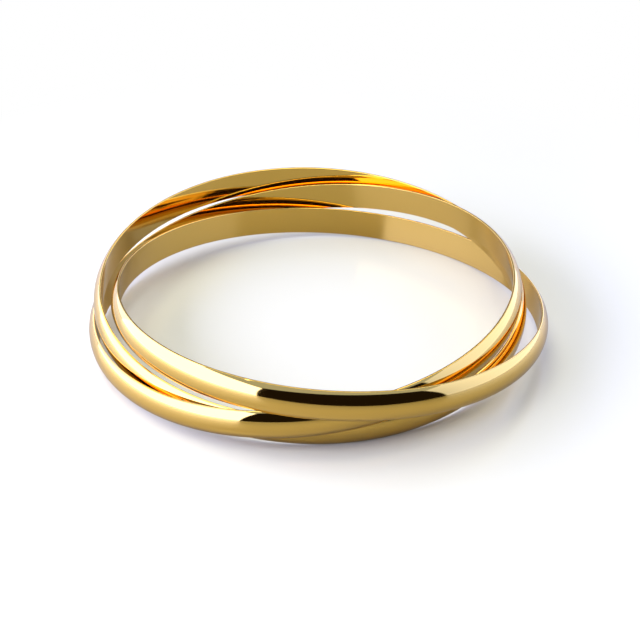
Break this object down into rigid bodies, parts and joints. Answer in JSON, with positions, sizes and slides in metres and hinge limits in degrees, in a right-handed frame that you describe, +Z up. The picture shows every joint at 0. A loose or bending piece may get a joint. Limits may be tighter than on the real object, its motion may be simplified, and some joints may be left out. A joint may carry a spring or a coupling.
{
  "type": "interlocking bangle",
  "caption": "Rigid gold tone bangles with a flat wrist side and a low domed outside, each one linked through the others, lying as a loose stack.",
  "frame": {"origin": "on the surface that the bangles lie on, under the middle of the whole set's bounding box", "axes": "+Z up, and across the wrist hollow; +Y towards the far side, where bangle_back lies uppermost; +X towards the right side, where bangle_right lies uppermost"},
  "size_m": [0.0746, 0.0734, 0.0125],
  "materials": {
    "polished_gold": "mirror polished gold tone plating"
  },
  "bodies": {
    "root": {"bangle_front": "polished_gold", "bangle_right": "polished_gold", "bangle_back": "polished_gold"}
  },
  "joints": []
}
